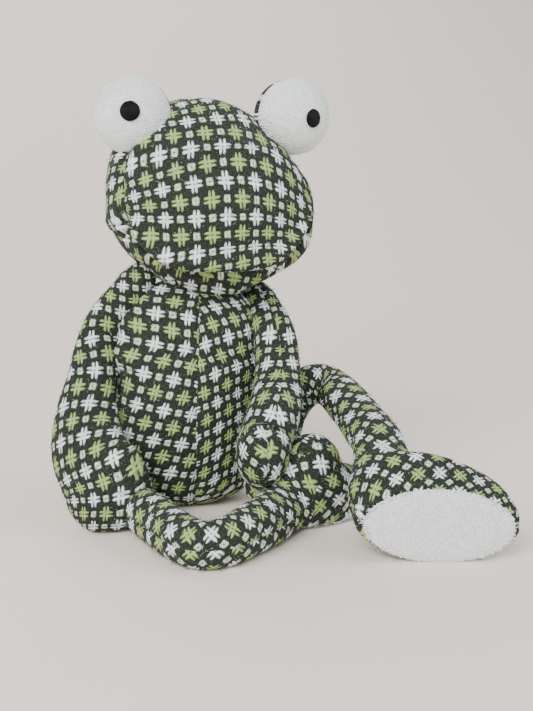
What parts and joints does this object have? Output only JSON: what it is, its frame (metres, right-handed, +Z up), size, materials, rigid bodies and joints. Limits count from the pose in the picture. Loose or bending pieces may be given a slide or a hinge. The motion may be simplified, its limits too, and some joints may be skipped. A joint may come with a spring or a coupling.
{
  "type": "plush frog",
  "caption": "Sitting plush frog in woven check cloth with bulging white terry eyes, a wide smile, floppy jointed arms and legs, and big feet with terry soles.",
  "frame": {"origin": "on the ground under the middle of the seat", "axes": "+Z up, -Y out of the frog's face, +X to the frog's left side"},
  "size_m": [0.2252, 0.1846, 0.2407],
  "materials": {
    "check_cloth": "coarse woven cloth, dark ground with white and light green crosses",
    "white_terry": "short ribbed terry",
    "pupil_thread": "satin stitch",
    "stuffing": "loose fibre and pellets"
  },
  "bodies": {
    "body": {"body_cover": "check_cloth", "body_filling": "stuffing", "pellet_bag": "stuffing"},
    "head": {"head": "check_cloth", "lower_jaw": "check_cloth", "right_eye_front": "white_terry", "right_eye_back": "check_cloth", "right_pupil": "pupil_thread", "left_eye_front": "white_terry", "left_eye_back": "check_cloth", "left_pupil": "pupil_thread"},
    "right_upper_arm": {"right_upper_arm": "check_cloth"},
    "right_forearm": {"right_forearm": "check_cloth"},
    "right_thigh": {"right_thigh": "check_cloth"},
    "right_shin": {"right_shin": "check_cloth"},
    "right_foot": {"right_foot": "check_cloth", "right_sole": "white_terry"},
    "left_upper_arm": {"left_upper_arm": "check_cloth"},
    "left_forearm": {"left_forearm": "check_cloth"},
    "left_thigh": {"left_thigh": "check_cloth"},
    "left_shin": {"left_shin": "check_cloth"},
    "left_foot": {"left_foot": "check_cloth", "left_sole": "white_terry"}
  },
  "joints": [
    {"name": "neck", "type": "hinge", "parent": "body", "child": "head", "pos_m": [0.00218, 0, 0.09595], "axis": [1, 0, 0], "range_deg": [-8, 12]},
    {"name": "right_shoulder", "type": "hinge", "parent": "body", "child": "right_upper_arm", "pos_m": [-0.03233, 0, 0.12291], "axis": [-0.6, 0.8, 0], "range_deg": [0, 30]},
    {"name": "right_elbow", "type": "hinge", "parent": "right_upper_arm", "child": "right_forearm", "pos_m": [-0.05539, -0.01187, 0.07413], "axis": [-0.6, 0.8, 0], "range_deg": [0, 35]},
    {"name": "right_hip", "type": "hinge", "parent": "body", "child": "right_thigh", "pos_m": [-0.04075, -0.02546, 0.0135], "axis": [1, 0, 0], "range_deg": [0, 40]},
    {"name": "right_knee", "type": "hinge", "parent": "right_thigh", "child": "right_shin", "pos_m": [-0.01022, -0.11311, 0.012], "axis": [0.151, 0.9885, 0], "range_deg": [0, 40]},
    {"name": "right_ankle", "type": "hinge", "parent": "right_shin", "child": "right_foot", "pos_m": [0.05825, -0.05894, 0.0323], "axis": [0.6606, -0.7507, 0], "range_deg": [0, 20]},
    {"name": "left_shoulder", "type": "hinge", "parent": "body", "child": "left_upper_arm", "pos_m": [0.04279, 0, 0.11235], "axis": [-1, 0, 0], "range_deg": [0, 30]},
    {"name": "left_elbow", "type": "hinge", "parent": "left_upper_arm", "child": "left_forearm", "pos_m": [0.04593, -0.03353, 0.08148], "axis": [-1, 0, 0], "range_deg": [0, 35]},
    {"name": "left_hip", "type": "hinge", "parent": "body", "child": "left_thigh", "pos_m": [0.04026, -0.02515, 0.0135], "axis": [0, 0, 1], "range_deg": [0, 40]},
    {"name": "left_knee", "type": "hinge", "parent": "left_thigh", "child": "left_shin", "pos_m": [0.08468, -0.02029, 0.06299], "axis": [-0.9611, -0.2763, 0], "range_deg": [0, 40]},
    {"name": "left_ankle", "type": "hinge", "parent": "left_shin", "child": "left_foot", "pos_m": [0.08886, -0.09535, 0.033], "axis": [-0.0294, 0.0063, -0.9995], "range_deg": [0, 20]}
  ]
}
